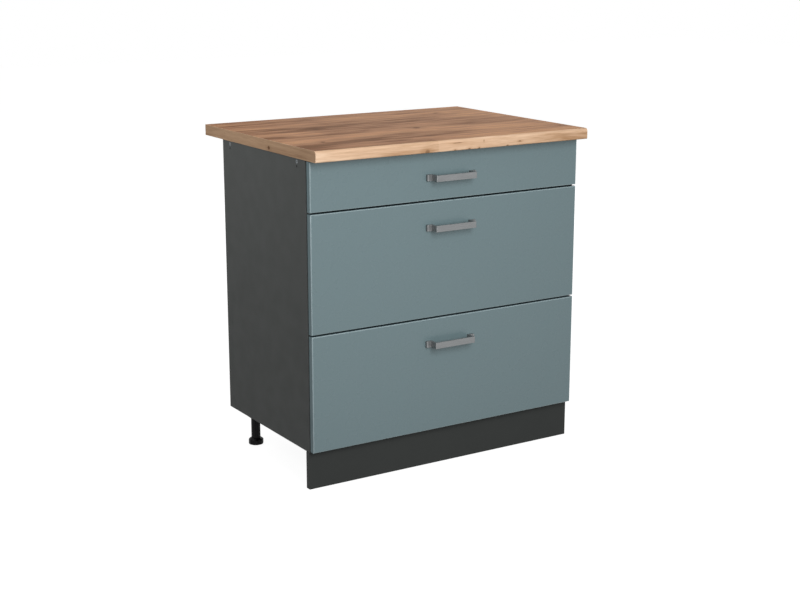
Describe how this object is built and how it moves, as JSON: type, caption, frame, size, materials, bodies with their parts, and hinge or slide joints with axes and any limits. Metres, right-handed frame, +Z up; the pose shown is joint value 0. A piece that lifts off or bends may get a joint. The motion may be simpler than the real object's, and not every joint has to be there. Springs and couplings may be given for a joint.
{
  "type": "base cabinet with drawers",
  "caption": "Kitchen base cabinet on levelling legs with a plinth and a wood-look worktop, and wide drawers on roller runners with bow handles.",
  "frame": {"origin": "on the floor, in the middle of the worktop's footprint", "axes": "+Z up; -Y is the front, the way the drawers open; +X is the right-hand side as seen from the front"},
  "size_m": [0.805, 0.6, 0.85],
  "materials": {
    "worktop_decor": "laminate with a light oak grain, satin",
    "carcass_board": "dark grey melamine, fine orange peel",
    "front_film": "satin blue-grey film on board",
    "back_board": "white lacquered hardboard",
    "drawer_board": "light grey melamine",
    "dowel_wood": "bare beech",
    "handle_metal": "brushed satin",
    "coated_steel": "light grey powder coat",
    "zinc_steel": "zinc plated",
    "zinc_casting": "die cast, matt",
    "black_plastic": "moulded, slightly glossy",
    "roller_plastic": "natural nylon"
  },
  "bodies": {
    "carcass": {"back_panel": "back_board", "bottom_panel": "carcass_board", "cam_bolts": "zinc_steel", "cam_locks": "zinc_casting", "leg_sockets": "black_plastic", "leg_tubes": "black_plastic", "mounting_screws": "zinc_steel", "panel_dowels": "dowel_wood", "plinth_clips": "black_plastic", "plinth_panel": "carcass_board", "rail_screws": "zinc_steel", "runner_bottom_left": "coated_steel", "runner_bottom_right": "coated_steel", "runner_middle_left": "coated_steel", "runner_middle_right": "coated_steel", "runner_top_left": "coated_steel", "runner_top_right": "coated_steel", "side_panel_left": "carcass_board", "side_panel_right": "carcass_board", "top_rail_back": "carcass_board", "top_rail_front": "carcass_board", "worktop": "worktop_decor", "worktop_screws": "zinc_steel"},
    "drawer_bottom": {"drawer_bottom_back": "drawer_board", "drawer_bottom_base": "drawer_board", "drawer_bottom_front": "front_film", "drawer_bottom_gallery_rails": "coated_steel", "drawer_bottom_handle": "handle_metal", "drawer_bottom_handle_screws": "zinc_steel", "drawer_bottom_screws": "zinc_steel", "drawer_bottom_side_left": "coated_steel", "drawer_bottom_side_right": "coated_steel"},
    "drawer_bottom_rollers": {"drawer_bottom_rollers": "roller_plastic"},
    "drawer_middle": {"drawer_middle_back": "drawer_board", "drawer_middle_base": "drawer_board", "drawer_middle_front": "front_film", "drawer_middle_gallery_rails": "coated_steel", "drawer_middle_handle": "handle_metal", "drawer_middle_handle_screws": "zinc_steel", "drawer_middle_screws": "zinc_steel", "drawer_middle_side_left": "coated_steel", "drawer_middle_side_right": "coated_steel"},
    "drawer_middle_rollers": {"drawer_middle_rollers": "roller_plastic"},
    "drawer_top": {"drawer_top_back": "drawer_board", "drawer_top_base": "drawer_board", "drawer_top_front": "front_film", "drawer_top_handle": "handle_metal", "drawer_top_handle_screws": "zinc_steel", "drawer_top_screws": "zinc_steel", "drawer_top_side_left": "coated_steel", "drawer_top_side_right": "coated_steel"},
    "drawer_top_rollers": {"drawer_top_rollers": "roller_plastic"},
    "levelling_foot_front_left": {"levelling_foot_front_left": "black_plastic"},
    "levelling_foot_front_right": {"levelling_foot_front_right": "black_plastic"},
    "levelling_foot_rear_left": {"levelling_foot_rear_left": "black_plastic"},
    "levelling_foot_rear_right": {"levelling_foot_rear_right": "black_plastic"},
    "runner_bottom_rollers": {"runner_bottom_rollers": "roller_plastic"},
    "runner_middle_rollers": {"runner_middle_rollers": "roller_plastic"},
    "runner_top_rollers": {"runner_top_rollers": "roller_plastic"}
  },
  "joints": [
    {"name": "drawer_bottom_slide", "type": "slide", "parent": "carcass", "child": "drawer_bottom", "axis": [0, -1, 0], "range_m": [0, 0.3]},
    {"name": "drawer_middle_slide", "type": "slide", "parent": "carcass", "child": "drawer_middle", "axis": [0, -1, 0], "range_m": [0, 0.3]},
    {"name": "drawer_top_slide", "type": "slide", "parent": "carcass", "child": "drawer_top", "axis": [0, -1, 0], "range_m": [0, 0.3]},
    {"name": "drawer_bottom_rollers_turn", "type": "hinge", "parent": "drawer_bottom", "child": "drawer_bottom_rollers", "pos_m": [0, 0.139, 0.13105], "axis": [1, 0, 0], "range_deg": [0, 1565.6]},
    {"name": "runner_bottom_rollers_turn", "type": "hinge", "parent": "carcass", "child": "runner_bottom_rollers", "pos_m": [0, -0.229, 0.1353], "axis": [1, 0, 0], "range_deg": [0, 1565.6]},
    {"name": "drawer_middle_rollers_turn", "type": "hinge", "parent": "drawer_middle", "child": "drawer_middle_rollers", "pos_m": [0, 0.139, 0.4303], "axis": [1, 0, 0], "range_deg": [0, 1565.6]},
    {"name": "runner_middle_rollers_turn", "type": "hinge", "parent": "carcass", "child": "runner_middle_rollers", "pos_m": [0, -0.229, 0.43455], "axis": [1, 0, 0], "range_deg": [0, 1565.6]},
    {"name": "drawer_top_rollers_turn", "type": "hinge", "parent": "drawer_top", "child": "drawer_top_rollers", "pos_m": [0, 0.139, 0.72955], "axis": [1, 0, 0], "range_deg": [0, 1565.6]},
    {"name": "runner_top_rollers_turn", "type": "hinge", "parent": "carcass", "child": "runner_top_rollers", "pos_m": [0, -0.229, 0.7338], "axis": [1, 0, 0], "range_deg": [0, 1565.6]},
    {"name": "foot_front_left_height", "type": "slide", "parent": "carcass", "child": "levelling_foot_front_left", "axis": [0, 0, -1], "range_m": [0, 0.02]},
    {"name": "foot_front_right_height", "type": "slide", "parent": "carcass", "child": "levelling_foot_front_right", "axis": [0, 0, -1], "range_m": [0, 0.02]},
    {"name": "foot_rear_left_height", "type": "slide", "parent": "carcass", "child": "levelling_foot_rear_left", "axis": [0, 0, -1], "range_m": [0, 0.02]},
    {"name": "foot_rear_right_height", "type": "slide", "parent": "carcass", "child": "levelling_foot_rear_right", "axis": [0, 0, -1], "range_m": [0, 0.02]}
  ],
  "couplings": [
    {"joint": "drawer_bottom_rollers_turn", "follows": "drawer_bottom_slide", "rad_per_m": 90.909},
    {"joint": "runner_bottom_rollers_turn", "follows": "drawer_bottom_slide", "rad_per_m": 90.909},
    {"joint": "drawer_middle_rollers_turn", "follows": "drawer_middle_slide", "rad_per_m": 90.909},
    {"joint": "runner_middle_rollers_turn", "follows": "drawer_middle_slide", "rad_per_m": 90.909},
    {"joint": "drawer_top_rollers_turn", "follows": "drawer_top_slide", "rad_per_m": 90.909},
    {"joint": "runner_top_rollers_turn", "follows": "drawer_top_slide", "rad_per_m": 90.909}
  ]
}
